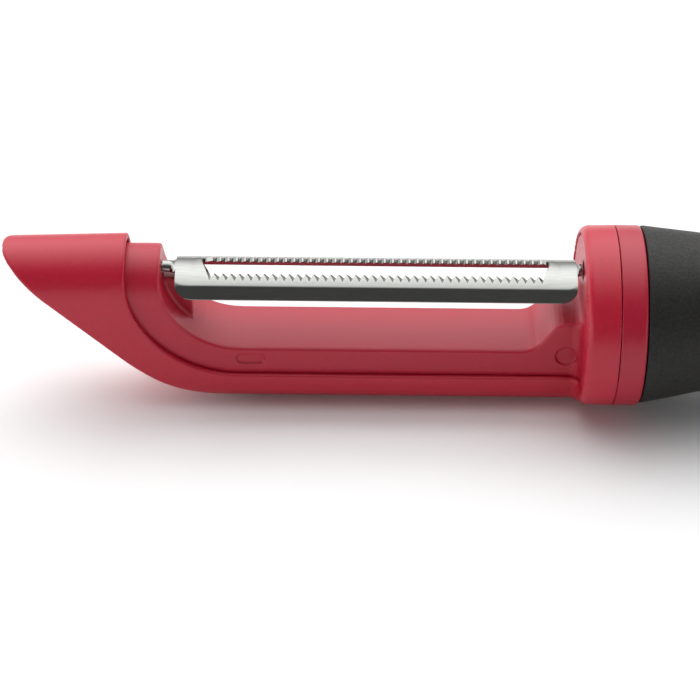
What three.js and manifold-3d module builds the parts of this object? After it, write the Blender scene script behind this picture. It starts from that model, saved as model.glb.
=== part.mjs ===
// Apple peeler corer: a two-part red head with a hollow gouge nose, a swivelling serrated blade
// and a soft black handle. Millimetres. The tool lies on its back with the blade facing up (+Z),
// +X runs from the nose to the handle, and the origin is at the middle of its bounding box's base.
import * as THREE from "three";
import { mergeVertices } from "three/addons/utils/BufferGeometryUtils.js";
import Module from "manifold-3d";

const wasm = await Module();
wasm.setup();

// Driving dimensions. X is measured from the nose tip and Z from the handle's axis.
const HEAD_RADIUS = 15; // the two red rings, and the belly's depth below the axis
const RING = { front: 95.4, back: 101, lip: 1, bore: 13.7, webBack: 96.6 };
const COLLAR = { front: 101.15, back: 105.35 };
const TOOL_LENGTH = 213;

const SHELL = { half: 7.2, archZ: 6.85, corner: 6.1, wall: 0.9 };
const NOSE = { tipZ: 13.6, lipX: 20.8, gougeX: 18.3, bellyX: 45, bellyRadius: 37, slope: 43.8 };
const RIM = { radius: 18.2, z: -8 };

const CARRIER = { half: 6, wall: 1.6, postTopZ: 12.3 };
const WELL = { postX: 26.35, radius: 13, floorZ: -3.2, shelfX: 93, shelfZ: 2.4 };
const CORED = { front: 31, slantX: 36, slantZ: -9 }; // the hollow under the carrier's floor
const SPIGOT_X = 15.7;
const DISC = { front: 95.7, radius: 13.3, back: 100.8 };
const TANG = { radius: 5, back: 150 };
const TANG_PIN = { x: 130, radius: 1.5, half: 8.5 };

// The blade's cross-section is a shallow arch with a straight, splayed flank on each side.
const BLADE = { front: 28.75, back: 94.6, radius: 7.8, bend: 30.5, thick: 0.55, crownZ: 9.42 };
const FLANK = { length: 2.33, splay: 30, corner: 2.8 };
const SLOT = { front: 32.7, back: 90.5, toothFirst: 35.1, toothCount: 40, pitch: 1.359 };
const TOOTH = { tipY: 2.09, valleyY: 3.5 };
const PIVOT = { z: 8.9, pin: 0.65, bore: 0.75, knuckle: 1.1, depth: 1.3, head: 1.7 };
const STOP = { half: 1.5, backX: 31.3, topZ: 7.4 };

// Grip stations: x, half-width across Y, top Z and bottom Z. The grip necks in behind the
// collar and swells to fill the palm.
const GRIP_STATIONS = [
  [105.65, 14.8, 14.8, -14.6],
  [109.5, 14.3, 14.6, -13.9],
  [115.5, 13.2, 14.0, -12.4],
  [123.7, 11.9, 12.9, -11.0],
  [133.7, 11.2, 12.0, -10.6],
  [145.8, 11.5, 11.9, -11.4],
  [160, 12.6, 12.3, -13.3],
  [175, 13.6, 12.6, -14.8],
  [188, 13.7, 12.2, -15.0],
  [199, 12.8, 11.0, -13.9],
  [206, 11.2, 9.2, -12.0],
  [211, 8.7, 6.6, -9.2],
  [TOOL_LENGTH, 5.6, 3.8, -6.4],
];
const CORE = { front: 105.65, back: 190, radius: 7.6 };
const EYELET = { x: 200, radius: 4, wall: 1.6, z: -1.4, half: 9 };

const GAP = 0.3; // between pieces that rest on or in each other
const ROUND = 48; // facets round a full turned piece

// --- joining and cutting ---------------------------------------------------------------------

function solidOf(geometry) {
  const bare = geometry.clone();
  bare.deleteAttribute("normal");
  bare.deleteAttribute("uv");
  const closed = mergeVertices(bare, 1e-4);
  const mesh = new wasm.Mesh({
    numProp: 3,
    vertProperties: new Float32Array(closed.attributes.position.array),
    triVerts: new Uint32Array(closed.index.array),
  });
  return new wasm.Manifold(mesh);
}

function geometryOf(solid) {
  const mesh = solid.getMesh();
  const geometry = new THREE.BufferGeometry();
  geometry.setAttribute("position", new THREE.BufferAttribute(mesh.vertProperties, 3));
  geometry.setIndex(new THREE.BufferAttribute(mesh.triVerts, 1));
  geometry.computeVertexNormals();
  return geometry;
}

const joined = (first, ...rest) => rest.reduce((all, next) => all.add(next), first);
const cut = (first, ...rest) => rest.reduce((all, next) => all.subtract(next), first);

// --- basic forms -----------------------------------------------------------------------------

// A side outline in X and Z, given a width across Y.
function acrossY(outline, half, curveSegments = 12) {
  const options = { depth: 2 * half, bevelEnabled: false, curveSegments };
  const geometry = new THREE.ExtrudeGeometry(outline, options);
  geometry.rotateX(Math.PI / 2);
  geometry.translate(0, half, 0);
  return solidOf(geometry);
}

// A cross-section in Y and Z, run along X.
function alongX(section, front, back, curveSegments = 12) {
  const options = { depth: back - front, bevelEnabled: false, curveSegments };
  const geometry = new THREE.ExtrudeGeometry(section, options);
  geometry.rotateX(Math.PI / 2);
  geometry.rotateZ(Math.PI / 2);
  geometry.translate(front, 0, 0);
  return solidOf(geometry);
}

// A plan outline in X and Y, run up Z.
function upZ(outline, low, high, curveSegments = 12) {
  const options = { depth: high - low, bevelEnabled: false, curveSegments };
  const geometry = new THREE.ExtrudeGeometry(outline, options);
  geometry.translate(0, 0, low);
  return solidOf(geometry);
}

// A profile of [x, radius] points turned about a line along X at height z.
function turned(profile, z = 0, facets = ROUND) {
  const points = profile.map(([x, radius]) => new THREE.Vector2(radius, x));
  if (THREE.ShapeUtils.area(points) < 0) points.reverse(); // so that the faces point out
  const geometry = new THREE.LatheGeometry(points, facets);
  geometry.rotateZ(-Math.PI / 2);
  geometry.translate(0, 0, z);
  return solidOf(geometry);
}

const rod = (front, back, radius, z = 0, facets = 20) =>
  turned([[front, 0], [back, 0], [back, radius], [front, radius], [front, 0]], z, facets);

function block(x0, x1, y0, y1, z0, z1) {
  const geometry = new THREE.BoxGeometry(x1 - x0, y1 - y0, z1 - z0);
  geometry.translate((x0 + x1) / 2, (y0 + y1) / 2, (z0 + z1) / 2);
  return solidOf(geometry);
}

// The head's cross-section: arched on top, rounded below.
function headSection(half, archZ, bottomZ, corner) {
  const s = new THREE.Shape();
  s.moveTo(half, archZ);
  s.absarc(0, archZ, half, 0, Math.PI, false);
  s.lineTo(-half, bottomZ + corner);
  s.absarc(-half + corner, bottomZ + corner, corner, Math.PI, 1.5 * Math.PI, false);
  s.lineTo(half - corner, bottomZ);
  s.absarc(half - corner, bottomZ + corner, corner, 1.5 * Math.PI, 2 * Math.PI, false);
  s.closePath();
  return s;
}

// --- the outer shell: gouge nose, trough and front ring ------------------------------------------

// The head's lower edge, inset by a wall: straight down the nose's slope, then an arc into the
// flat belly.
function addLowerEdge(shape, inset, fromX) {
  const slope = THREE.MathUtils.degToRad(NOSE.slope);
  const centreZ = NOSE.bellyRadius - HEAD_RADIUS;
  const radius = NOSE.bellyRadius - inset;
  const startX = NOSE.bellyX - radius * Math.sin(slope);
  const startZ = centreZ - radius * Math.cos(slope);
  shape.lineTo(fromX, startZ + (startX - fromX) * Math.tan(slope));
  shape.absarc(NOSE.bellyX, centreZ, radius, 1.5 * Math.PI - slope, 1.5 * Math.PI, false);
}

function noseOutline(backX) {
  const top = SHELL.archZ + SHELL.half;
  const s = new THREE.Shape();
  s.moveTo(3, 20);
  s.lineTo(3, top);
  s.quadraticCurveTo(-1.93, top, 1.2, NOSE.tipZ - 1.2);
  addLowerEdge(s, 0, 1.3);
  s.lineTo(backX, -HEAD_RADIUS);
  s.lineTo(backX, 20);
  s.closePath();
  return s;
}

// The opening above the trough: the nose's end face curves down into the long side rim.
function troughOpening() {
  const s = new THREE.Shape();
  s.moveTo(RING.back + 5, 20);
  s.lineTo(NOSE.lipX, 20);
  s.absarc(NOSE.lipX + RIM.radius, RIM.z + RIM.radius, RIM.radius, Math.PI, 1.5 * Math.PI, false);
  s.lineTo(RING.back + 5, RIM.z);
  s.closePath();
  return s;
}

function outerShell() {
  const outside = headSection(SHELL.half, SHELL.archZ, -HEAD_RADIUS, SHELL.corner);
  const body = alongX(outside, 0, RING.webBack)
    .intersect(acrossY(noseOutline(RING.webBack), 10))
    .subtract(acrossY(troughOpening(), 10));
  // A web closes the ring's front below the rim and carries the trough's walls.
  const web = rod(RING.front, RING.webBack, RING.bore + GAP, 0, ROUND)
    .intersect(block(RING.front, RING.webBack, -20, 20, -20, RIM.z));
  const hollow = headSection(
    SHELL.half - SHELL.wall,
    SHELL.archZ,
    -HEAD_RADIUS + SHELL.wall,
    SHELL.corner - SHELL.wall,
  );
  // The hollow runs out through the nose's sloping underside, which leaves the gouge's edge.
  const hollowSide = new THREE.Shape();
  hollowSide.moveTo(1.6, 20);
  hollowSide.lineTo(1.6, -20);
  hollowSide.lineTo(NOSE.gougeX, -20);
  addLowerEdge(hollowSide, SHELL.wall, NOSE.gougeX);
  hollowSide.lineTo(RING.back + 5, -HEAD_RADIUS + SHELL.wall);
  hollowSide.lineTo(RING.back + 5, 20);
  hollowSide.closePath();
  const inside = alongX(hollow, -1, RING.back + 5).intersect(acrossY(hollowSide, 10));
  const { front, back, lip, bore } = RING;
  const ring = turned([
    [front, bore],
    [back, bore],
    [back, HEAD_RADIUS],
    [front + lip, HEAD_RADIUS],
    [front + lip * 0.29, HEAD_RADIUS - lip * 0.29],
    [front, HEAD_RADIUS - lip],
    [front, bore],
  ]);
  return body.add(web).subtract(inside).add(ring);
}

// --- the blade carrier: post, floor, shelf, disc and tang ----------------------------------------

// The well that the blade turns in: straight post, round front, flat floor and a raised shelf.
function wellOutline() {
  const { postX, radius, floorZ, shelfX, shelfZ } = WELL;
  const s = new THREE.Shape();
  s.moveTo(DISC.front, 20);
  s.lineTo(postX, 20);
  s.absarc(postX + radius, floorZ + radius, radius, Math.PI, 1.5 * Math.PI, false);
  s.lineTo(shelfX - 7, floorZ);
  s.bezierCurveTo(shelfX - 3.2, floorZ, shelfX - 3.6, shelfZ, shelfX, shelfZ);
  s.lineTo(DISC.front, shelfZ);
  s.closePath();
  return s;
}

function bladeCarrier() {
  const bottom = -HEAD_RADIUS + SHELL.wall + GAP;
  const corner = SHELL.corner - SHELL.wall - GAP;
  const outside = headSection(CARRIER.half, CARRIER.postTopZ - CARRIER.half, bottom, corner);
  const side = new THREE.Shape();
  side.moveTo(SPIGOT_X, 20);
  addLowerEdge(side, SHELL.wall + GAP, SPIGOT_X);
  side.lineTo(RING.front - GAP, bottom);
  side.lineTo(RING.front - GAP, bottom + 1);
  side.lineTo(DISC.front + 2, bottom + 1);
  side.lineTo(DISC.front + 2, 20);
  side.closePath();
  const rail = alongX(outside, SPIGOT_X, DISC.front + 2)
    .intersect(acrossY(side, 10))
    .subtract(acrossY(wellOutline(), 10));
  // The moulding is cored out from below, and the shell's trough closes it.
  const core = new THREE.Shape();
  core.moveTo(CORED.front, -20);
  core.lineTo(CORED.front, CORED.slantZ);
  core.lineTo(CORED.slantX, WELL.floorZ - CARRIER.wall);
  core.lineTo(DISC.front - CARRIER.wall, WELL.floorZ - CARRIER.wall);
  core.lineTo(DISC.front - CARRIER.wall, -20);
  core.closePath();
  const hollow = acrossY(core, CARRIER.half - CARRIER.wall);
  const disc = turned([
    [DISC.front, 0],
    [DISC.back, 0],
    [DISC.back, DISC.radius],
    [DISC.front + 0.5, DISC.radius],
    [DISC.front, DISC.radius - 0.5],
    [DISC.front, 0],
  ]);
  const webRoom = block(DISC.front - 1, RING.webBack + GAP, -20, 20, -20, RIM.z + GAP);
  const tang = turned([
    [DISC.back - 1, 0],
    [TANG.back, 0],
    [TANG.back, TANG.radius - 1],
    [TANG.back - 2, TANG.radius],
    [DISC.back - 1, TANG.radius],
    [DISC.back - 1, 0],
  ], 0, 24);
  // The rib stands under the blade's front end and stops its swing.
  const rib = block(WELL.postX - 1, STOP.backX, -STOP.half, STOP.half, -4, STOP.topZ);
  const body = joined(rail.subtract(hollow), disc.subtract(webRoom), tang, rib);
  const frontBore = rod(SPIGOT_X - 1, 40, PIVOT.pin + 0.05, PIVOT.z, 16);
  const frontHead = rod(SPIGOT_X - 1, SPIGOT_X + 1.7, 1.9, PIVOT.z, 16);
  const rearBore = rod(90, DISC.back + 1, PIVOT.pin + 0.05, PIVOT.z, 16);
  const rearHead = rod(DISC.back - 1.7, DISC.back + 1, 1.9, PIVOT.z, 16);
  const pinSlot = block(DISC.front - 1, DISC.front + 1, -0.2, 0.2, PIVOT.z - 1.75, PIVOT.z + 1.75);
  const crossBore = crossPin(TANG_PIN.radius + 0.05, 8);
  return cut(body, frontBore, frontHead, rearBore, rearHead, pinSlot, crossBore, ...sideDents());
}

// A pill-shaped and a round moulding mark on the near side wall.
function sideDents() {
  const depth = 0.35;
  const pill = new THREE.Shape();
  pill.absarc(39.6, -5.3, 0.95, Math.PI / 2, 1.5 * Math.PI, false);
  pill.absarc(42.4, -5.3, 0.95, -Math.PI / 2, Math.PI / 2, false);
  pill.closePath();
  const spot = new THREE.Shape();
  spot.absarc(93.3, -4.15, 1.8, 0, 2 * Math.PI, false);
  const place = (outline) => acrossY(outline, depth).translate(0, -CARRIER.half, 0);
  return [place(pill), place(spot)];
}

// --- the swivel blade -----------------------------------------------------------------------------

// Half the slot's outline: slanted ends, and teeth that point at the middle.
function slotOutline() {
  const s = new THREE.Shape();
  const { front, back, toothFirst, toothCount, pitch } = SLOT;
  const { tipY, valleyY } = TOOTH;
  const side = [];
  for (let i = 0; i < toothCount; i++) {
    const tip = toothFirst + i * pitch;
    side.push([tip - pitch / 2, valleyY], [tip, tipY]);
  }
  side.push([toothFirst + (toothCount - 0.5) * pitch, valleyY]);
  s.moveTo(front, 0);
  for (const [x, y] of side) s.lineTo(x, y);
  s.lineTo(back, 0);
  for (const [x, y] of side.reverse()) s.lineTo(x, -y);
  s.closePath();
  return s;
}

const splay = THREE.MathUtils.degToRad(FLANK.splay);
const bend = THREE.MathUtils.degToRad(BLADE.bend);

function bladeSection() {
  const { radius, thick, crownZ } = BLADE;
  const centreZ = crownZ - radius;
  const up = Math.PI / 2;
  const foot = (r, side) => [
    side * (r * Math.sin(bend) + FLANK.length * Math.sin(splay)),
    centreZ + r * Math.cos(bend) - FLANK.length * Math.cos(splay),
  ];
  const s = new THREE.Shape();
  s.moveTo(...foot(radius - thick, 1));
  s.lineTo(...foot(radius, 1));
  s.absarc(0, centreZ, radius, up - bend, up + bend, false);
  s.lineTo(...foot(radius, -1));
  s.lineTo(...foot(radius - thick, -1));
  s.absarc(0, centreZ, radius - thick, up + bend, up - bend, true);
  s.closePath();
  return s;
}

function swivelBlade() {
  const { front, back, radius, crownZ } = BLADE;
  const { corner } = FLANK;
  const footZ = crownZ - radius * (1 - Math.cos(bend)) - FLANK.length * Math.cos(splay) - GAP;
  // Seen from the side, the ends' lower corners are rounded.
  const side = new THREE.Shape();
  side.moveTo(back, 20);
  side.lineTo(front, 20);
  side.absarc(front + corner, footZ + corner, corner, Math.PI, 1.5 * Math.PI, false);
  side.absarc(back - corner, footZ + corner, corner, 1.5 * Math.PI, 2 * Math.PI, false);
  side.closePath();
  const plate = alongX(bladeSection(), front, back, 14)
    .intersect(acrossY(side, 10, 6))
    .subtract(upZ(slotOutline(), crownZ - radius, 20));
  // Rolled knuckles run from the crown at each end and turn on the pins.
  const { z, knuckle, bore, depth } = PIVOT;
  const eye = (x0, x1) => rod(x0, x1, knuckle, z);
  const neck = (x0, x1) => block(x0, x1, -1.5, 1.5, z, crownZ);
  const eyes = joined(
    eye(WELL.postX + GAP, front + depth + 0.1),
    neck(WELL.postX + 1.2, front + depth + 0.1),
    eye(back - depth - 0.1, DISC.front - GAP),
    neck(back - depth - 0.1, DISC.front - GAP - 0.3),
  );
  const frontBore = rod(WELL.postX, front + depth, bore, z, 16);
  const rearBore = rod(back - depth, DISC.front, bore, z, 16);
  return cut(plate.add(eyes), frontBore, rearBore);
}

// --- pins -------------------------------------------------------------------------------------------

function pivotPin(headFront, headBack, tip) {
  const head = rod(headFront, headBack, PIVOT.head, PIVOT.z, 16);
  const shank = rod(Math.min(headBack, tip), Math.max(headFront, tip), PIVOT.pin, PIVOT.z, 16);
  return head.add(shank);
}

function crossPin(radius, half) {
  const geometry = new THREE.CylinderGeometry(radius, radius, 2 * half, 20);
  geometry.translate(TANG_PIN.x, 0, 0);
  return solidOf(geometry);
}

// --- the handle ---------------------------------------------------------------------------------------

function collar() {
  const { front, back } = COLLAR;
  const bore = TANG.radius + GAP;
  const edge = 0.35;
  return turned([
    [front, bore],
    [back, bore],
    [back, HEAD_RADIUS - edge],
    [back - edge, HEAD_RADIUS],
    [front + edge, HEAD_RADIUS],
    [front, HEAD_RADIUS - edge],
    [front, bore],
  ]);
}

// A closed skin of elliptical rings through the stations.
function loft(stations, sides = 40) {
  const positions = [];
  const index = [];
  for (const [x, half, top, bottom] of stations) {
    const middle = (top + bottom) / 2;
    const height = (top - bottom) / 2;
    for (let i = 0; i < sides; i++) {
      const a = (2 * Math.PI * i) / sides;
      positions.push(x, half * Math.cos(a), middle + height * Math.sin(a));
    }
  }
  for (let row = 0; row < stations.length - 1; row++) {
    for (let i = 0; i < sides; i++) {
      const a = row * sides + i;
      const b = row * sides + ((i + 1) % sides);
      index.push(a, b, a + sides, b, b + sides, a + sides);
    }
  }
  const last = (stations.length - 1) * sides;
  for (let i = 1; i < sides - 1; i++) {
    index.push(0, i + 1, i, last, last + i, last + i + 1);
  }
  const geometry = new THREE.BufferGeometry();
  geometry.setAttribute("position", new THREE.Float32BufferAttribute(positions, 3));
  geometry.setIndex(index);
  return solidOf(geometry);
}

const eyeletBarrel = (radius, half) => {
  const geometry = new THREE.CylinderGeometry(radius, radius, 2 * half, 32);
  geometry.rotateX(Math.PI / 2);
  geometry.translate(EYELET.x, 0, EYELET.z);
  return solidOf(geometry);
};

function handleCore() {
  const stem = rod(CORE.front, CORE.back, CORE.radius, 0, 32);
  const bore = rod(CORE.front - 1, TANG.back + GAP, TANG.radius + GAP, 0, 24);
  return cut(stem, bore, crossPin(TANG_PIN.radius + 0.05, 20));
}

function softGrip() {
  const skin = loft(GRIP_STATIONS);
  const bore = rod(CORE.front - 1, CORE.back + GAP, CORE.radius + GAP, 0, 32);
  const pinRoom = crossPin(TANG_PIN.radius + GAP, TANG_PIN.half + GAP);
  return cut(skin, bore, pinRoom, eyeletBarrel(EYELET.radius + EYELET.wall + GAP, 20));
}

// The eyelet is pressed into the grip's end and lines its hanging hole.
function hangingEyelet() {
  const outer = eyeletBarrel(EYELET.radius + EYELET.wall, EYELET.half);
  return outer.subtract(eyeletBarrel(EYELET.radius, 20));
}

// --- the assembly ---------------------------------------------------------------------------------------

const plastic = (color) => new THREE.MeshStandardMaterial({ color, roughness: 0.4, metalness: 0 });
const steel = () => new THREE.MeshStandardMaterial({ color: 0xd8d8d6, roughness: 0.25, metalness: 1 });
const rubber = () => new THREE.MeshStandardMaterial({ color: 0x2c2b2b, roughness: 0.8, metalness: 0 });

const tool = new THREE.Group();
tool.position.set(-TOOL_LENGTH / 2, 0, HEAD_RADIUS);

function place(name, solid, material) {
  const mesh = new THREE.Mesh(geometryOf(solid), material);
  mesh.name = name;
  tool.add(mesh);
}

place("outer_shell", outerShell(), plastic(0xb01f35));
place("blade_carrier", bladeCarrier(), plastic(0xb3243a));
place("swivel_blade", swivelBlade(), steel());
const pinReach = PIVOT.depth - 0.1;
place("front_pivot_pin", pivotPin(SPIGOT_X + 0.2, SPIGOT_X + 1.4, BLADE.front + pinReach), steel());
place("rear_pivot_pin", pivotPin(DISC.back - 1.4, DISC.back - 0.2, BLADE.back - pinReach), steel());
place("handle_collar", collar(), plastic(0xa01c30));
place("handle_core", handleCore(), plastic(0x1d1c1c));
place("tang_cross_pin", crossPin(TANG_PIN.radius, TANG_PIN.half), steel());
place("soft_grip", softGrip(), rubber());
place("hanging_eyelet", hangingEyelet(), plastic(0x242323));

export default tool;
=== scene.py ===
"""Apple peeler corer: fine surfaces, materials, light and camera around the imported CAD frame."""

import math

import bmesh
import bpy
import numpy as np
from mathutils import Matrix, Vector


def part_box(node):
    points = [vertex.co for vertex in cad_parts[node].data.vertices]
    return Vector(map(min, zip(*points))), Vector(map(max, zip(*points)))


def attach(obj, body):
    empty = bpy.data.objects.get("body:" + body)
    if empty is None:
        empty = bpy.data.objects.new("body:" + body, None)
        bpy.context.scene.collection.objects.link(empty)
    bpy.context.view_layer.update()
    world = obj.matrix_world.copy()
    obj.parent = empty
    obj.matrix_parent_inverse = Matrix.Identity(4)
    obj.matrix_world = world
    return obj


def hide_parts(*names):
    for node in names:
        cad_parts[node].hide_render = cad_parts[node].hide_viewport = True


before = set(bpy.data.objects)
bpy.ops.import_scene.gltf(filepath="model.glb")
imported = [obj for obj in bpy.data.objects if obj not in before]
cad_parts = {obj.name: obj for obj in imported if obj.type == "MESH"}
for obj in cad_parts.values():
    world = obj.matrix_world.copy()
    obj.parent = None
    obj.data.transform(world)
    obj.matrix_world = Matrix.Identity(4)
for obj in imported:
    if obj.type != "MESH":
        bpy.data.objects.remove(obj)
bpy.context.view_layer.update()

MM = 0.001

# The tool's own coordinates are millimetres from the nose tip along X and from the handle's
# axis up Z. The frame says where both are.
NOSE_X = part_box("outer_shell")[0].x
AXIS_Z = sum(corner.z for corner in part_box("handle_collar")) / 2


def tool_x(node, end):
    """Where a CAD node starts (end 0) or stops (end 1) along the tool, in millimetres."""
    return (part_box(node)[end].x - NOSE_X) / MM


# --- Dimensions, in millimetres -------------------------------------------------------------------

HEAD_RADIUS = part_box("handle_collar")[1].y / MM
COLLAR_FRONT, COLLAR_BACK = tool_x("handle_collar", 0), tool_x("handle_collar", 1)
TOOL_LENGTH = tool_x("soft_grip", 1)

RING_FRONT, RING_BACK, RING_LIP, RING_BORE = 95.4, tool_x("outer_shell", 1), 1.5, 13.65
WEB_BACK = RING_FRONT + 1.2
RING_DRAFT = 0.02  # how fast the front ring narrows away from the seam
SEAM_CLOSE, SEAM_EDGE = 0.04, 0.1  # how far each ring grows into the seam, and its rounding there
RING_FILLET = 1.3
FLOOR_GAP = 0.01
SHELL_HALF, SHELL_ARCH_Z, SHELL_CORNER, SHELL_WALL = 7.2, 6.85, 6.1, 0.95
NOSE_LIP_X, GOUGE_X = 20.8, 18.3
NOSE_SLOPE, BELLY_X, BELLY_RADIUS = math.radians(43.2), 45.0, 37.0
NOSE_DROOP = 0.037  # how fast the nose's ridge falls towards the tip
RIM_RADIUS, RIM_Z = 18.2, -8.0
NOSE_EDGE, RIM_EDGE, BORE_EDGE, HOLLOW_EDGE = 0.35, 0.4, 0.3, 0.18  # radii of rounded edges

CARRIER_HALF, CARRIER_TOP_Z, FLOOR_Z = 6.2, 12.3, -3.2
POST_X, WELL_RADIUS, SHELF_X, SHELF_Z = 26.35, 13.0, 93.0, 2.4
SPIGOT_X = tool_x("blade_carrier", 0)
DISC_FRONT, DISC_BACK, DISC_RADIUS = 95.7, 100.8, 13.5
RAIL_EDGE, DISC_EDGE, DISC_FILLET = 0.5, 0.45, 1.8
RIB_HALF, RIB_BACK, RIB_TOP_Z, RIB_EDGE = 1.5, 31.3, 7.4, 0.5
MOULD_GAP = 0.3  # between the carrier and the shell round it
PIVOT_Z = (sum(corner.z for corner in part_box("front_pivot_pin")) / 2 - AXIS_Z) / MM


# --- Solid shapes as distance fields --------------------------------------------------------------
# A field is negative inside. Fields take arrays of any shapes that broadcast together.


def meet(a, b, r):
    """Where a and b are both solid, with the edge between them rounded to radius r."""
    corner = np.hypot(np.maximum(r + a, 0), np.maximum(r + b, 0))
    return np.minimum(-r, np.maximum(a, b)) + corner


def merge(a, b, r):
    """a and b together, with a fillet of radius r between them."""
    corner = np.hypot(np.maximum(r - a, 0), np.maximum(r - b, 0))
    return np.maximum(r, np.minimum(a, b)) - corner


def cut(a, b, r):
    """a with b taken away, and the new edge rounded to radius r."""
    return meet(a, -b, r)


def outline(points, u, v):
    """Distance to a closed outline in the plane of u and v."""
    nearest = np.full(np.broadcast(u, v).shape, 1e9)
    inside = np.zeros(nearest.shape, bool)
    for (u0, v0), (u1, v1) in zip(points, points[1:] + points[:1]):
        du, dv = u1 - u0, v1 - v0
        along = np.clip(((u - u0) * du + (v - v0) * dv) / (du * du + dv * dv), 0, 1)
        nearest = np.minimum(nearest, np.hypot(u - u0 - du * along, v - v0 - dv * along))
        if dv:
            crosses = (v0 <= v) != (v1 <= v)
            inside ^= crosses & (u < u0 + (v - v0) * du / dv)
    return np.where(inside, -nearest, nearest)


def slab(u, low, high):
    return np.maximum(low - u, u - high)


def head_section(y, z, half, arch_z, bottom, corner):
    """The head's cross-section: arched on top, rounded below."""
    top = arch_z + half
    middle = (top + bottom) / 2
    r = np.where(z > middle, half, corner)
    qy = np.abs(y) - half + r
    qz = np.abs(z - middle) - (top - bottom) / 2 + r
    outside = np.hypot(np.maximum(qy, 0), np.maximum(qz, 0))
    return outside + np.minimum(np.maximum(qy, qz), 0) - r


def arc(centre_x, centre_z, radius, start, stop, steps=16):
    """Points along an arc, with its angles in degrees."""
    angles = [math.radians(start + (stop - start) * i / steps) for i in range(steps + 1)]
    return [(centre_x + radius * math.cos(a), centre_z + radius * math.sin(a)) for a in angles]


def lower_edge(inset, from_x):
    """The head's lower edge from from_x on: down the nose's slope and round into the belly."""
    centre_z = BELLY_RADIUS - HEAD_RADIUS
    radius = BELLY_RADIUS - inset
    start_x = BELLY_X - radius * math.sin(NOSE_SLOPE)
    start_z = centre_z - radius * math.cos(NOSE_SLOPE)
    first = (from_x, start_z + (start_x - from_x) * math.tan(NOSE_SLOPE))
    return [first] + arc(BELLY_X, centre_z, radius, 270 - math.degrees(NOSE_SLOPE), 270)


def curve(p0, p1, p2, p3, steps=12):
    """Points along a cubic Bezier curve."""
    out = []
    for i in range(steps + 1):
        t = i / steps
        w = ((1 - t) ** 3, 3 * t * (1 - t) ** 2, 3 * t * t * (1 - t), t**3)
        out.append(tuple(sum(k * p[n] for k, p in zip(w, (p0, p1, p2, p3))) for n in (0, 1)))
    return out


# --- Skins: a mesh on the zero surface of a field -------------------------------------------------


def spaced(*stops):
    """Grid lines from alternate positions and steps: start, step, position, step, position..."""
    lines = [stops[0]]
    for step, stop in zip(stops[1::2], stops[2::2]):
        count = max(1, round((stop - lines[-1]) / step))
        lines.extend(np.linspace(lines[-1], stop, count + 1)[1:])
    return np.array(lines)


def settle(field, points, rounds=4, probe=0.02):
    """Moves points onto the field's zero surface."""
    for _ in range(rounds):
        x, y, z = points.T
        value = field(x, y, z)
        slope = np.stack([
            field(x + probe, y, z) - field(x - probe, y, z),
            field(x, y + probe, z) - field(x, y - probe, z),
            field(x, y, z + probe) - field(x, y, z - probe),
        ], 1) / (2 * probe)
        size = np.maximum((slope**2).sum(1), 0.2)
        move = -(value / size)[:, None] * slope
        length = np.linalg.norm(move, axis=1, keepdims=True)
        points = points + move * np.minimum(1, 0.3 / np.maximum(length, 1e-9))
    return points


def skin(name, field, xs, ys, zs):
    """A closed smooth mesh round the solid part of a field, by surface nets."""
    lines = (xs, ys, zs)
    shape = tuple(len(a) for a in lines)
    values = np.broadcast_to(
        field(xs[:, None, None], ys[None, :, None], zs[None, None, :]), shape
    ).astype(np.float32)
    solid = values < 0
    steps = [(i, j, k) for i in (0, 1) for j in (0, 1) for k in (0, 1)]
    part = [slice(0, -1), slice(1, None)]
    count = sum(solid[part[i], part[j], part[k]].astype(np.uint8) for i, j, k in steps)
    cells = np.argwhere((count > 0) & (count < 8))
    number = np.full([n - 1 for n in shape], -1, np.int64)
    number[tuple(cells.T)] = np.arange(len(cells))
    total = np.zeros((len(cells), 3))
    hits = np.zeros(len(cells))
    for a in steps:
        for axis in range(3):
            if a[axis]:
                continue
            b = tuple(1 if n == axis else a[n] for n in range(3))
            ia, ib = cells + a, cells + b
            va, vb = values[tuple(ia.T)], values[tuple(ib.T)]
            hit = (va < 0) != (vb < 0)
            t = np.where(hit, va / np.where(hit, va - vb, 1), 0)
            pa = np.stack([lines[n][ia[:, n]] for n in range(3)], 1)
            pb = np.stack([lines[n][ib[:, n]] for n in range(3)], 1)
            total += np.where(hit[:, None], pa + (pb - pa) * t[:, None], 0)
            hits += hit
    points = settle(field, total / hits[:, None])
    quads = []
    for axis in range(3):
        u, v = [n for n in range(3) if n != axis]
        low = [slice(None)] * 3
        high = [slice(None)] * 3
        low[axis], high[axis] = slice(0, -1), slice(1, None)
        edges = np.argwhere(solid[tuple(low)] != solid[tuple(high)])
        inner = np.ones(len(edges), bool)
        for n in (u, v):
            inner &= (edges[:, n] > 0) & (edges[:, n] < shape[n] - 1)
        edges = edges[inner]
        ring = []
        for du, dv in ((1, 1), (0, 1), (0, 0), (1, 0)):
            cell = edges.copy()
            cell[:, u] -= du
            cell[:, v] -= dv
            ring.append(number[tuple(cell.T)])
        ring = np.stack(ring, 1)
        leaves = solid[tuple(low)][tuple(edges.T)]
        if axis == 1:
            leaves = ~leaves
        ring[~leaves] = ring[~leaves][:, ::-1]
        quads.append(ring)
    return mesh_object(name, points, np.concatenate(quads))


def placed(points):
    """Tool millimetres to frame metres."""
    return np.asarray(points, float) * MM + (NOSE_X, 0, AXIS_Z)


def mesh_object(name, points, faces):
    """A smooth-shaded object from points in tool millimetres."""
    mesh = bpy.data.meshes.new(name)
    mesh.from_pydata(placed(points).tolist(), [], [list(f) for f in faces])
    mesh.shade_smooth()
    obj = bpy.data.objects.new(name, mesh)
    bpy.context.scene.collection.objects.link(obj)
    return obj


# --- The outer shell ------------------------------------------------------------------------------

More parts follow.
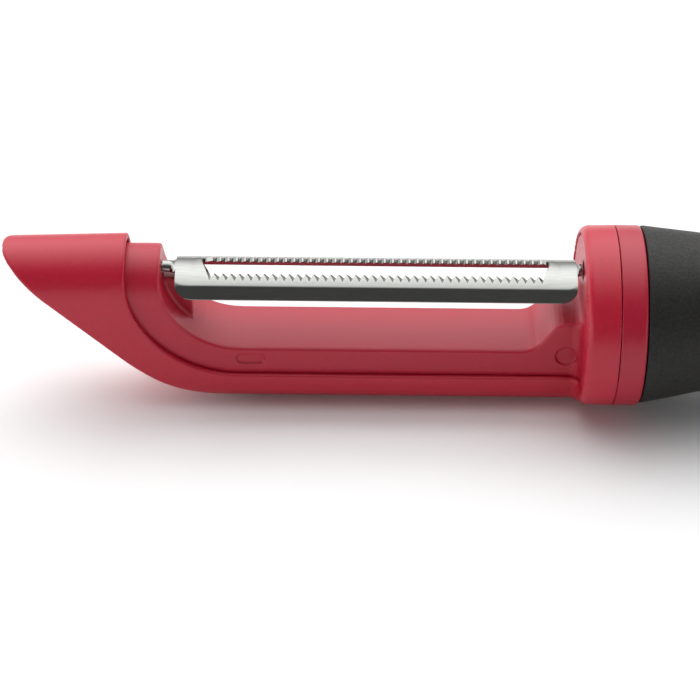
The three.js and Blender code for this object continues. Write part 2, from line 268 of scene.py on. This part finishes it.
TIP_TOP = SHELL_ARCH_Z + SHELL_HALF
NOSE_OUTLINE = (
    [(1.5, 20)]
    + curve((1.5, TIP_TOP), (0.3, 13.9), (-0.15, 13.64), (1.2, 12.37))
    + lower_edge(0, 1.3)
    + [(RING_FRONT + 0.6, -HEAD_RADIUS), (RING_FRONT + 0.6, 20)]
)
HOLLOW_OUTLINE = (
    [(2.2, 20), (2.2, -20), (GOUGE_X, -20)]
    + lower_edge(SHELL_WALL, GOUGE_X)
    + [(RING_BACK + 5, -HEAD_RADIUS + SHELL_WALL), (RING_BACK + 5, 20)]
)
OPENING_OUTLINE = (
    [(NOSE_LIP_X, 24)]
    + arc(NOSE_LIP_X + RIM_RADIUS, RIM_Z + RIM_RADIUS, RIM_RADIUS, 180, 270)
    + [(RING_BACK + 5, RIM_Z), (RING_BACK + 5, 24)]
)


def shell_field(x, y, z):
    fall = NOSE_DROOP * np.maximum(NOSE_LIP_X - x, 0)
    section = head_section(y, z + fall, SHELL_HALF, SHELL_ARCH_Z, -HEAD_RADIUS, SHELL_CORNER)
    body = meet(section, outline(NOSE_OUTLINE, x, z), NOSE_EDGE)
    body = cut(body, outline(OPENING_OUTLINE, x, z), RIM_EDGE)
    r = np.hypot(y, z)
    radius = HEAD_RADIUS - RING_DRAFT * np.maximum(RING_BACK - x, 0)
    ring = meet(RING_FRONT - x, r - radius, RING_LIP)
    ring = meet(ring, x - RING_BACK - SEAM_CLOSE, SEAM_EDGE)
    whole = np.maximum(merge(body, ring, RING_FILLET), FLOOR_GAP - HEAD_RADIUS - z)
    bore = np.minimum(
        np.maximum(r - RING_BORE, RIM_Z - z), np.maximum(r - RING_BORE, WEB_BACK - x)
    )
    whole = cut(whole, np.maximum(bore, RING_FRONT - 2 - x), BORE_EDGE)
    hollow_section = head_section(
        y, z + fall, SHELL_HALF - SHELL_WALL, SHELL_ARCH_Z,
        -HEAD_RADIUS + SHELL_WALL, SHELL_CORNER - SHELL_WALL,
    )
    hollow = np.maximum(hollow_section, outline(HOLLOW_OUTLINE, x, z))
    return cut(whole, hollow, HOLLOW_EDGE)


def outer_shell():
    return skin(
        "outer_shell_skin", shell_field,
        spaced(-1, 0.27, 30, 0.5, 46, 1.2, 91, 0.3, 99.8, 0.1, 101),
        spaced(-16, 0.6, -9, 0.27, 9, 0.6, 16),
        spaced(-16, 0.27, 16),
    )


# --- The blade carrier ----------------------------------------------------------------------------

CARRIER_BOTTOM = -HEAD_RADIUS + SHELL_WALL + MOULD_GAP
CARRIER_OUTLINE = (
    [(SPIGOT_X, 20), (POST_X, 20)]
    + arc(POST_X + WELL_RADIUS, FLOOR_Z + WELL_RADIUS, WELL_RADIUS, 180, 270)
    + curve((SHELF_X - 7, FLOOR_Z), (SHELF_X - 3.2, FLOOR_Z),
            (SHELF_X - 3.2, SHELF_Z), (SHELF_X + 0.4, SHELF_Z))
    + [(DISC_FRONT + 2, SHELF_Z), (DISC_FRONT + 2, CARRIER_BOTTOM + 1),
       (RING_FRONT - MOULD_GAP, CARRIER_BOTTOM + 1), (RING_FRONT - MOULD_GAP, CARRIER_BOTTOM)]
    + lower_edge(SHELL_WALL + MOULD_GAP, SPIGOT_X)[::-1]
)
PILL_X, PILL_Z, PILL_REACH, PILL_RADIUS = 41.0, -5.3, 1.4, 0.95
SPOT_X, SPOT_Z, SPOT_RADIUS = 93.3, -4.15, 1.75
DENT_DEPTH = 0.3
PIN_BORE, COUNTERBORE, COUNTERBORE_DEPTH = 0.8, 1.7, 0.6


def carrier_field(x, y, z):
    section = head_section(
        y, z, CARRIER_HALF, CARRIER_TOP_Z - CARRIER_HALF, CARRIER_BOTTOM, SHELL_CORNER - 1.3
    )
    rail = meet(section, outline(CARRIER_OUTLINE, x, z), RAIL_EDGE)
    r = np.hypot(y, z)
    disc = meet(meet(r - DISC_RADIUS, DISC_FRONT - x, DISC_EDGE), x - DISC_BACK, 0.3)
    room = np.maximum(z - (RIM_Z + MOULD_GAP), x - (WEB_BACK + MOULD_GAP))
    whole = merge(rail, np.maximum(disc, -room), DISC_FILLET)
    rib = np.maximum(np.abs(y) - RIB_HALF, slab(x, POST_X - 1, RIB_BACK))
    rib = meet(rib, slab(z, FLOOR_Z - 1, RIB_TOP_Z), RIB_EDGE)
    whole = merge(whole, rib, RIB_EDGE)
    pivot = np.hypot(y, z - PIVOT_Z)
    bore = np.maximum(pivot - PIN_BORE, slab(x, SPIGOT_X + 1, DISC_BACK - 1))
    whole = cut(whole, bore, 0.12)
    recess = slab(x, DISC_FRONT - 1, DISC_FRONT + COUNTERBORE_DEPTH)
    whole = cut(whole, np.maximum(pivot - COUNTERBORE, recess), 0.1)
    # Moulding marks on one side: a pill-shaped dent and a round ejector mark.
    pill = np.hypot(np.maximum(np.abs(x - PILL_X) - PILL_REACH, 0), z - PILL_Z) - PILL_RADIUS
    spot = np.hypot(x - SPOT_X, z - SPOT_Z) - SPOT_RADIUS
    dents = np.minimum(pill, spot)
    return cut(whole, meet(dents, y + CARRIER_HALF - DENT_DEPTH, 0.15), 0.12)


def blade_carrier():
    return skin(
        "blade_carrier_skin", carrier_field,
        spaced(14, 0.5, 24, 0.27, 37, 0.2, 43, 0.4, 46, 1.2, 83, 0.3, 90, 0.2, 97, 0.6, 102),
        spaced(-14, 0.5, -6.5, 0.18, -5.2, 0.3, -2, 0.22, 2, 0.3, 6.5, 0.5, 14),
        spaced(-15, 0.6, -7, 0.25, 14),
    )


# --- Collar, grip and eyelet ----------------------------------------------------------------------


COLLAR_EDGE, COLLAR_BORE = 0.45, 5.3


def collar_field(x, y, z):
    r = np.hypot(y, z)
    ring = meet(COLLAR_FRONT - SEAM_CLOSE - x, r - HEAD_RADIUS, SEAM_EDGE)
    return cut(meet(ring, x - COLLAR_BACK, COLLAR_EDGE), r - COLLAR_BORE, 0.2)


def handle_collar():
    return skin(
        "handle_collar_skin", collar_field,
        spaced(COLLAR_FRONT - 0.5, 0.1, COLLAR_FRONT + 0.6, 0.3, COLLAR_BACK + 0.6),
        spaced(-16, 0.4, 16), spaced(-16, 0.4, 16),
    )


# Stations along the grip: x, half-width across Y, top Z and bottom Z.
GRIP_STATIONS = np.array([
    (103.4, 15.1, 15.2, -14.9),
    (105.6, 14.85, 15.0, -14.5),
    (109.4, 14.3, 14.6, -13.7),
    (115.4, 13.3, 14.0, -12.4),
    (123.4, 12.1, 13.0, -11.2),
    (133.4, 11.4, 12.1, -10.7),
    (145.8, 11.6, 11.9, -11.4),
    (160.0, 12.5, 12.2, -13.2),
    (175.0, 13.4, 12.4, -14.6),
    (188.0, 13.5, 12.0, -14.8),
    (199.0, 12.9, 11.0, -14.2),
    (213.0, 11.6, 9.0, -12.4),
])
EYELET_X, EYELET_RADIUS, EYELET_WALL = 200.0, 4.0, 1.6
EYELET_Z = (sum(c.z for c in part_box("hanging_eyelet")) / 2 - AXIS_Z) / MM
EYELET_HALF = (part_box("hanging_eyelet")[1].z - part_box("hanging_eyelet")[0].z) / 2 / MM
END_REACH = 15.0
GRIP_EDGE, EYELET_FILLET = 0.4, 1.4


def spline(xs, ys, x):
    """A smooth curve through stations, with a parabola's slope at each."""
    slope = np.gradient(ys, xs)
    x = np.clip(x, xs[0], xs[-1])
    i = np.clip(np.searchsorted(xs, x) - 1, 0, len(xs) - 2)
    h = xs[i + 1] - xs[i]
    t = (x - xs[i]) / h
    return (
        (1 + 2 * t) * (1 - t) ** 2 * ys[i] + t * (1 - t) ** 2 * h * slope[i]
        + t * t * (3 - 2 * t) * ys[i + 1] + t * t * (t - 1) * h * slope[i + 1]
    )


def grip_field(x, y, z):
    xs = GRIP_STATIONS[:, 0]
    half, top, bottom = (spline(xs, GRIP_STATIONS[:, n], x) for n in (1, 2, 3))
    # Past the last of the palm swell the grip closes in a round end.
    rest = np.clip((x - (TOOL_LENGTH - END_REACH)) / END_REACH, 0, 0.9999)
    close = np.sqrt(1 - rest**2.4)
    middle, high = (top + bottom) / 2, (top - bottom) / 2
    a, b = half * close, high * close
    level = np.hypot(y / a, (z - middle) / b)
    body = (level - 1) * np.minimum(a, b)
    body = meet(np.maximum(body, x - TOOL_LENGTH), COLLAR_BACK + 0.12 - x, GRIP_EDGE)
    hole = np.hypot(x - EYELET_X, y) - (EYELET_RADIUS + EYELET_WALL + 0.05)
    return cut(body, hole, EYELET_FILLET)


def soft_grip():
    return skin(
        "soft_grip_skin", grip_field,
        spaced(104, 0.25, 108, 0.8, 186, 0.45, 214.5),
        spaced(-16, 0.5, 16),
        spaced(-16.5, 0.5, 16),
    )


def eyelet_field(x, y, z):
    r = np.hypot(x - EYELET_X, y)
    tube = meet(r - EYELET_RADIUS - EYELET_WALL, np.abs(z - EYELET_Z) - EYELET_HALF, 0.5)
    return cut(tube, r - EYELET_RADIUS, 0.6)


def hanging_eyelet():
    lines = spaced(-7, 0.3, 7)
    return skin(
        "hanging_eyelet_skin", eyelet_field, lines + EYELET_X, lines,
        spaced(-EYELET_HALF - 1, 0.4, EYELET_HALF + 1) + EYELET_Z,
    )


# --- The swivel blade -----------------------------------------------------------------------------

BLADE_FRONT, BLADE_BACK = 28.75, 94.6
BLADE_THICK, BLADE_CROWN_Z = 0.5, 9.42
# The cross-section is a shallow arch that turns down a rounded corner into a straight flank.
ARCH_RADIUS, ARCH_BEND, BEND_RADIUS, FLANK_TILT = 7.8, math.radians(32.5), 0.9, math.radians(61)
ARCH_REACH = ARCH_BEND * ARCH_RADIUS  # these two are from the crown, round the section
BLADE_REACH = ARCH_REACH + (FLANK_TILT - ARCH_BEND) * BEND_RADIUS + 2.05
CORNER_LENGTH, CORNER_DROP = 2.8, 2.4
SLOT_FRONT, SLOT_BACK = 32.7, 90.5
SLOT_POINT = 1.7  # the slot's ends slant to points this far past the crown, away from the camera
TOOTH_FIRST, TOOTH_COUNT, TOOTH_PITCH = 35.1, 40, 1.359
TIP_REACH = math.asin(2.09 / ARCH_RADIUS) * ARCH_RADIUS
VALLEY_REACH = math.asin(3.5 / ARCH_RADIUS) * ARCH_RADIUS
# The teeth are ground as slanting grooves: shallower in the inner face, and further along it.
INNER_TIP_REACH, INNER_VALLEY_REACH, GROOVE_SKEW = 1.85, 2.55, 0.28
OUTER_BEVEL, INNER_BEVEL = 0.05, 0.35
EDGE_DROP = 0.14  # how far the outer face falls away at the flanks' lower edges
TONGUE_RADIUS, TONGUE_FRONT, TONGUE_BACK, TONGUE_THICK = 1.1, 26.65, 95.4, 0.42
TONGUE_ROOT, TONGUE_WAIST, TONGUE_WRAP = 1.9, 1.45, math.radians(115)


def slot_edge(side, tip_reach, valley, skew, bevel):
    """One face's edge on one side of the slot: x, and distance round the arch from the crown."""
    point = side * SLOT_POINT
    points = [(SLOT_FRONT, point), (SLOT_FRONT + bevel, point + 0.04)]
    if side > 0:
        points.append((SLOT_FRONT + 0.8, tip_reach))
    for i in range(TOOTH_COUNT):
        tip = TOOTH_FIRST + i * TOOTH_PITCH + skew
        points += [(tip - TOOTH_PITCH / 2, valley), (tip, tip_reach)]
    points.append((TOOTH_FIRST + (TOOTH_COUNT - 0.5) * TOOTH_PITCH + skew, valley))
    if side > 0:
        points.append((SLOT_BACK - 0.8, tip_reach))
    points += [(SLOT_BACK - bevel, point + 0.04), (SLOT_BACK, point)]
    return np.array(points).T


def blade_columns(side):
    """Each column of the sheet: x, where its two faces start round the section, and its end."""
    edge_x, edge_s = slot_edge(side, TIP_REACH, VALLEY_REACH, 0, OUTER_BEVEL)
    inner_x, inner_s = slot_edge(
        side, INNER_TIP_REACH, INNER_VALLEY_REACH, GROOVE_SKEW, INNER_BEVEL
    )
    xs = set(np.round(edge_x, 4)) | set(np.round(inner_x, 4))
    xs |= {round(a + (b - a) * t, 4) for a, b in ((edge_x[0], edge_x[3]), (edge_x[-4], edge_x[-1]))
           for t in (0.3, 0.6)}
    for k in range(9):
        step = CORNER_LENGTH * (1 - math.cos(math.pi / 2 * k / 8))
        xs |= {round(BLADE_FRONT + step, 4), round(BLADE_BACK - step, 4)}
    columns = []
    for x in sorted(xs):
        start = np.interp(x, edge_x, edge_s, left=0, right=0)
        under = np.interp(x, inner_x, inner_s, left=0, right=0)
        end = min(x - BLADE_FRONT, BLADE_BACK - x, CORNER_LENGTH)
        rise = math.sqrt(max(1 - (1 - end / CORNER_LENGTH) ** 2, 0))
        columns.append((x, start, under, BLADE_REACH - CORNER_DROP * (1 - rise), 0.0))
    return columns


def tongue_columns(root, tip):
    """The tongue that leaves the crown at one end of the blade and rolls into a half tube."""
    columns = []
    way = 1 if tip > root else -1
    for t in (0.0, 0.04, 0.1, 0.2, 0.32, 0.46, 0.62, 0.8, 1.0):
        x = root + way * 0.01 + (tip - root) * t
        roll = min(t / 0.45, 1)
        roll = roll * roll * (3 - 2 * roll)
        half = TONGUE_ROOT + (TONGUE_WAIST - TONGUE_ROOT) * min(t / 0.3, 1)
        stop = half + (TONGUE_WRAP * TONGUE_RADIUS - TONGUE_WAIST) * roll
        columns.append((x, 0.0, 0.0, stop, roll))
    return columns


def section_point(along, depth, roll):
    """Y and Z at a distance round the blade's or the tongue's section, and depth under its skin."""
    if roll:
        radius = ARCH_RADIUS + (TONGUE_RADIUS - ARCH_RADIUS) * roll ** 0.3
        crown = BLADE_CROWN_Z + (PIVOT_Z + TONGUE_RADIUS - BLADE_CROWN_Z) * roll
        lean = along / radius
        return (radius - depth) * math.sin(lean), crown - radius + (radius - depth) * math.cos(lean)
    top = min(along, ARCH_REACH)
    turn = min((along - top) / BEND_RADIUS, FLANK_TILT - ARCH_BEND)
    flank = along - top - turn * BEND_RADIUS
    lean = top / ARCH_RADIUS + turn
    arch = ARCH_RADIUS - BEND_RADIUS
    arch_lean = min(lean, ARCH_BEND)
    y = arch * math.sin(arch_lean) + (BEND_RADIUS - depth) * math.sin(lean) + flank * math.cos(lean)
    z = arch * math.cos(arch_lean) + (BEND_RADIUS - depth) * math.cos(lean) - flank * math.sin(lean)
    return y, BLADE_CROWN_Z - ARCH_RADIUS + z


def section_rows(start, stop):
    """Places round the section, closest together at its tight corner."""
    rows = [start + (ARCH_REACH - 0.06 - start) * k / 6 for k in range(1, 7)]
    rows += [ARCH_REACH + 0.08 * k for k in range(7)] + [ARCH_REACH + 1.2, BLADE_REACH - EDGE_DROP]
    squeeze = (stop - start) / (BLADE_REACH - start)
    return [start] + [start + (row - start) * squeeze for row in rows] + [stop]


def blade_section(column, side):
    """One column's outer and inner points, from the slot's edge to the lower edge."""
    x, start, under, stop, roll = column
    thick = TONGUE_THICK if roll else BLADE_THICK
    faces = []
    for first, depth in ((start, 0.0), (under, thick)):
        rows = section_rows(first, stop)
        points = [section_point(along, depth, roll) for along in rows[:-1]]
        points.append(section_point(stop, max(depth, EDGE_DROP), roll))
        faces.append([(x, side * y, z) for y, z in points])
    return faces


SHARP_ANGLE = math.radians(22)


def swivel_blade():
    bm = bmesh.new()
    for side in (-1, 1):
        columns = (
            tongue_columns(BLADE_FRONT, TONGUE_FRONT)[::-1]
            + blade_columns(side)
            + tongue_columns(BLADE_BACK, TONGUE_BACK)
        )
        rows = []
        for column in columns:
            outer, inner = blade_section(column, side)
            rows.append([[bm.verts.new(placed(p)) for p in part] for part in (outer, inner)])
        last = len(rows[0][0]) - 1
        for (outer_a, inner_a), (outer_b, inner_b), a, b in zip(rows, rows[1:], columns, columns[1:]):
            quads = []
            for k in range(last):
                quads.append((outer_a[k], outer_b[k], outer_b[k + 1], outer_a[k + 1]))
                quads.append((inner_a[k + 1], inner_b[k + 1], inner_b[k], inner_a[k]))
            quads.append((outer_a[last], outer_b[last], inner_b[last], inner_a[last]))
            if any(SLOT_FRONT < column[0] < SLOT_BACK for column in (a, b)):
                quads.append((inner_a[0], inner_b[0], outer_b[0], outer_a[0]))
            for quad in quads:
                face = bm.faces.new(quad if side < 0 else quad[::-1])
                face.smooth = True
        for (outer, inner), end in ((rows[0], 0), (rows[-1], 1)):
            for k in range(last):
                quad = (outer[k], outer[k + 1], inner[k + 1], inner[k])
                bm.faces.new(quad if (side < 0) != bool(end) else quad[::-1])
    bmesh.ops.remove_doubles(bm, verts=bm.verts, dist=2e-7)
    bmesh.ops.dissolve_degenerate(bm, edges=bm.edges, dist=1e-8)
    bmesh.ops.recalc_face_normals(bm, faces=bm.faces)
    for edge in bm.edges:
        if len(edge.link_faces) == 2 and edge.calc_face_angle(0) > SHARP_ANGLE:
            edge.smooth = False
    mesh = bpy.data.meshes.new("swivel_blade_skin")
    bm.to_mesh(mesh)
    bm.free()
    obj = bpy.data.objects.new("swivel_blade_skin", mesh)
    bpy.context.scene.collection.objects.link(obj)
    return obj


# --- The pivot pins -------------------------------------------------------------------------------

PIN_RADIUS = 0.64


def pivot_pin(node, front, back):
    """A pin from front to back along the pivot's axis."""
    def field(x, y, z):
        return meet(np.hypot(y, z - PIVOT_Z) - PIN_RADIUS, slab(x, front, back), 0.15)

    across = spaced(-1, 0.12, 1)
    return skin(node + "_skin", field, spaced(front - 0.5, 0.14, back + 0.5), across,
                across + PIVOT_Z)


# --- Materials ------------------------------------------------------------------------------------


def new_material(name, colour, roughness, metallic=0.0, specular=0.5):
    material = bpy.data.materials.new(name)
    material.use_nodes = True
    tree = material.node_tree
    shader = tree.nodes["Principled BSDF"]
    shader.inputs["Base Color"].default_value = (*colour, 1)
    shader.inputs["Roughness"].default_value = roughness
    shader.inputs["Metallic"].default_value = metallic
    shader.inputs["Specular IOR Level"].default_value = specular
    return material, tree, shader


def noise(tree, scale, detail=3.0, stretch=(1, 1, 1)):
    """A noise texture whose scale is in features per metre."""
    place = tree.nodes.new("ShaderNodeTexCoord")
    turn = tree.nodes.new("ShaderNodeMapping")
    turn.inputs["Scale"].default_value = stretch
    texture = tree.nodes.new("ShaderNodeTexNoise")
    texture.inputs["Scale"].default_value = scale
    texture.inputs["Detail"].default_value = detail
    tree.links.new(place.outputs["Object"], turn.inputs["Vector"])
    tree.links.new(turn.outputs["Vector"], texture.inputs["Vector"])
    return texture.outputs["Fac"]


def spread(tree, value, low, high):
    """Maps a noise value's usual range onto low to high."""
    node = tree.nodes.new("ShaderNodeMapRange")
    node.inputs["From Min"].default_value = 0.3
    node.inputs["From Max"].default_value = 0.7
    node.inputs["To Min"].default_value = low
    node.inputs["To Max"].default_value = high
    tree.links.new(value, node.inputs["Value"])
    return node.outputs["Result"]


def tint(tree, shader, value, dark, light):
    """Varies the base colour between two colours by a noise value."""
    ramp = tree.nodes.new("ShaderNodeValToRGB")
    ramp.color_ramp.elements[0].position = 0.3
    ramp.color_ramp.elements[0].color = (*dark, 1)
    ramp.color_ramp.elements[1].position = 0.7
    ramp.color_ramp.elements[1].color = (*light, 1)
    tree.links.new(value, ramp.inputs["Fac"])
    tree.links.new(ramp.outputs["Color"], shader.inputs["Base Color"])


def bump(tree, shader, value, height):
    """Bump from a noise value, with its height in metres."""
    node = tree.nodes.new("ShaderNodeBump")
    node.inputs["Strength"].default_value = 1.0
    node.inputs["Distance"].default_value = height
    tree.links.new(value, node.inputs["Height"])
    tree.links.new(node.outputs["Normal"], shader.inputs["Normal"])


def red_plastic(name, dark, light, roughness, grain):
    material, tree, shader = new_material(name, light, roughness, specular=0.42)
    fine = noise(tree, 2000, 1)
    tint(tree, shader, fine, dark, light)
    tree.links.new(spread(tree, fine, roughness - 0.05, roughness + 0.06), shader.inputs["Roughness"])
    bump(tree, shader, fine, grain)
    return material


def black_rubber():
    material, tree, shader = new_material("black_soft_grip", (0.0165, 0.0162, 0.0146), 0.5, specular=0.25)
    grain = noise(tree, 2300, 3)
    tint(tree, shader, grain, (0.011, 0.0108, 0.0097), (0.022, 0.0216, 0.0195))
    tree.links.new(spread(tree, noise(tree, 1500, 3), 0.45, 0.6), shader.inputs["Roughness"])
    bump(tree, shader, grain, 0.00006)
    return material


def black_plastic():
    material, tree, shader = new_material("black_liner", (0.022, 0.022, 0.023), 0.45)
    fine = noise(tree, 2600, 2)
    tint(tree, shader, fine, (0.017, 0.017, 0.018), (0.027, 0.027, 0.028))
    bump(tree, shader, fine, 0.00001)
    return material


def steel(name, roughness, brush):
    material, tree, shader = new_material(name, (0.28, 0.285, 0.271), roughness, metallic=1.0)
    lines = noise(tree, 2600, 3, stretch=(0.12, 1, 1))
    tint(tree, shader, lines, (0.265, 0.27, 0.257), (0.295, 0.30, 0.286))
    tree.links.new(spread(tree, lines, roughness - 0.02, roughness + 0.03), shader.inputs["Roughness"])
    bump(tree, shader, lines, brush)
    return material


# --- Stage, light and camera ----------------------------------------------------------------------


def pale_floor():
    material, tree, shader = new_material("pale_floor", (0.88, 0.88, 0.88), 0.6, specular=0.2)
    tint(tree, shader, noise(tree, 60, 2), (0.875, 0.875, 0.875), (0.885, 0.885, 0.885))
    size = 3.0
    mesh = bpy.data.meshes.new("floor")
    corners = [(-size, -size, 0), (size, -size, 0), (size, size, 0), (-size, size, 0)]
    mesh.from_pydata(corners, [], [(0, 1, 2, 3)])
    floor = bpy.data.objects.new("floor", mesh)
    bpy.context.scene.collection.objects.link(floor)
    mesh.materials.append(material)


# Light by direction: degrees from the front horizon, over the top and down to the back, with
# the radiance there. A wide soft box hangs overhead and behind, and the camera's side is dark.
SKY = [(0, 0.15), (46, 0.14), (57, 0.3), (66, 0.75), (74, 1.3), (83, 2.0), (95, 2.5), (110, 3.0),
       (125, 3.15), (143, 2.6), (154, 1.75), (166, 0.9), (180, 0.5)]
SKY_LIMIT = 3.2
# Along X the box narrows towards the front, and low panels stand past the tool's two ends.
FRONT_FADE = [(-1, 0.02), (-0.6, 0.06), (-0.3, 0.6), (-0.15, 1), (0.15, 1), (0.3, 0.6),
              (0.6, 0.06), (1, 0.02)]
BACK_FADE = [(-1, 0.6), (-0.5, 1), (0.5, 1), (1, 0.6)]
BACK_SHARE = [(0, 0), (88, 0), (122, 1), (180, 1)]
LEFT_PANEL, RIGHT_PANEL = 2.4, 1.2
PANELS = [(-1, LEFT_PANEL), (-0.7, LEFT_PANEL), (-0.35, 0), (0.35, 0), (0.7, RIGHT_PANEL),
          (1, RIGHT_PANEL)]
PANEL_HEIGHT = [(-1, 1), (0.2, 1), (0.45, 0), (1, 0)]


def studio_world():
    world = bpy.data.worlds.new("studio")
    bpy.context.scene.world = world
    world.use_nodes = True
    tree = world.node_tree
    place = tree.nodes.new("ShaderNodeTexCoord")
    split = tree.nodes.new("ShaderNodeSeparateXYZ")
    tree.links.new(place.outputs["Generated"], split.inputs["Vector"])

    def math_node(operation, *values):
        node = tree.nodes.new("ShaderNodeMath")
        node.operation = operation
        for slot, value in zip(node.inputs, values):
            if isinstance(value, (int, float)):
                slot.default_value = value
            else:
                tree.links.new(value, slot)
        return node.outputs["Value"]

    def ramp(source, stops, limit=1):
        low, high = stops[0][0], stops[-1][0]
        scale = tree.nodes.new("ShaderNodeMapRange")
        scale.inputs["From Min"].default_value = low
        scale.inputs["From Max"].default_value = high
        tree.links.new(source, scale.inputs["Value"])
        node = tree.nodes.new("ShaderNodeValToRGB")
        elements = node.color_ramp.elements
        while len(elements) < len(stops):
            elements.new(0.5)
        for element, (position, value) in zip(elements, stops):
            element.position = (position - low) / (high - low)
            element.color = (*[value / limit] * 3, 1)
        tree.links.new(scale.outputs["Result"], node.inputs["Fac"])
        return node.outputs["Color"]

    forward = math_node("MULTIPLY", split.outputs["Y"], -1.0)
    angle = math_node("ARCTAN2", split.outputs["Z"], forward)
    degrees = math_node("MULTIPLY", angle, 180 / math.pi)
    sky = ramp(degrees, SKY, SKY_LIMIT)
    narrow = ramp(split.outputs["X"], FRONT_FADE)
    wide = ramp(split.outputs["X"], BACK_FADE)
    extra = math_node("MULTIPLY", math_node("SUBTRACT", wide, narrow), ramp(degrees, BACK_SHARE))
    box = math_node("MULTIPLY", sky, math_node("ADD", narrow, extra))
    panels = ramp(split.outputs["X"], PANELS, SKY_LIMIT)
    sides = math_node("MULTIPLY", panels, ramp(split.outputs["Z"], PANEL_HEIGHT))
    background = tree.nodes["Background"]
    background.inputs["Strength"].default_value = SKY_LIMIT
    tree.links.new(math_node("MAXIMUM", box, sides), background.inputs["Color"])


CAMERA_ELEVATION = math.radians(37)
CAMERA_ROLL = math.radians(0.6)
CAMERA_DISTANCE = 383.3  # millimetres
LENS = 118.3
AIM_X, AIM_DROP = 57.5, 6.3  # where the view's middle meets the tool: along it, and below its axis


def photo_camera():
    data = bpy.data.cameras.new("camera")
    data.lens = LENS
    data.sensor_width = 36
    data.clip_start, data.clip_end = 0.01, 20
    camera = bpy.data.objects.new("camera", data)
    bpy.context.scene.collection.objects.link(camera)
    bpy.context.scene.camera = camera
    forward = Vector((0, math.cos(CAMERA_ELEVATION), -math.sin(CAMERA_ELEVATION)))
    level_up = Vector((0, math.sin(CAMERA_ELEVATION), math.cos(CAMERA_ELEVATION)))
    across = Vector((1, 0, 0))
    right = across * math.cos(CAMERA_ROLL) + level_up * math.sin(CAMERA_ROLL)
    up = level_up * math.cos(CAMERA_ROLL) - across * math.sin(CAMERA_ROLL)
    aim = Vector(placed((AIM_X, 0, 0))) - level_up * AIM_DROP * MM
    turn = Matrix((right, up, -forward)).transposed()
    camera.matrix_world = Matrix.Translation(aim - forward * CAMERA_DISTANCE * MM) @ turn.to_4x4()


# --- The assembly ---------------------------------------------------------------------------------


def add(obj, body, node, material):
    obj.data.materials.clear()
    obj.data.materials.append(material)
    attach(obj, body)
    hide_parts(node)


def dress(node, material):
    """Gives a CAD node that stays its own material."""
    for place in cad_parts[node].material_slots:
        place.material = material


photo_camera()
pale_floor()
studio_world()

shell_red = red_plastic("shell_red", (0.45, 0.0095, 0.031), (0.485, 0.0110, 0.034), 0.33, 0.000012)
carrier_red = red_plastic("carrier_red", (0.42, 0.0105, 0.032), (0.455, 0.0125, 0.036), 0.36, 0.000016)
collar_red = red_plastic("collar_red", (0.385, 0.0085, 0.029), (0.41, 0.0097, 0.032), 0.33, 0.000012)
blade_steel = steel("blade_steel", 0.13, 0.000002)
pin_steel = steel("pin_steel", 0.13, 0.000002)
rubber = black_rubber()
liner = black_plastic()

add(outer_shell(), "handle_frame", "outer_shell", shell_red)
add(blade_carrier(), "handle_frame", "blade_carrier", carrier_red)
add(handle_collar(), "handle_frame", "handle_collar", collar_red)
add(soft_grip(), "handle_frame", "soft_grip", rubber)
add(hanging_eyelet(), "handle_frame", "hanging_eyelet", liner)
add(swivel_blade(), "blade", "swivel_blade", blade_steel)
front_pin = pivot_pin("front_pivot_pin", tool_x("front_pivot_pin", 0), BLADE_FRONT - 0.2)
rear_pin = pivot_pin("rear_pivot_pin", BLADE_BACK + 0.2, tool_x("rear_pivot_pin", 1))
add(front_pin, "handle_frame", "front_pivot_pin", pin_steel)
add(rear_pin, "handle_frame", "rear_pivot_pin", pin_steel)
dress("tang_cross_pin", pin_steel)
dress("handle_core", liner)

bpy.context.scene.view_settings.view_transform = "Standard"
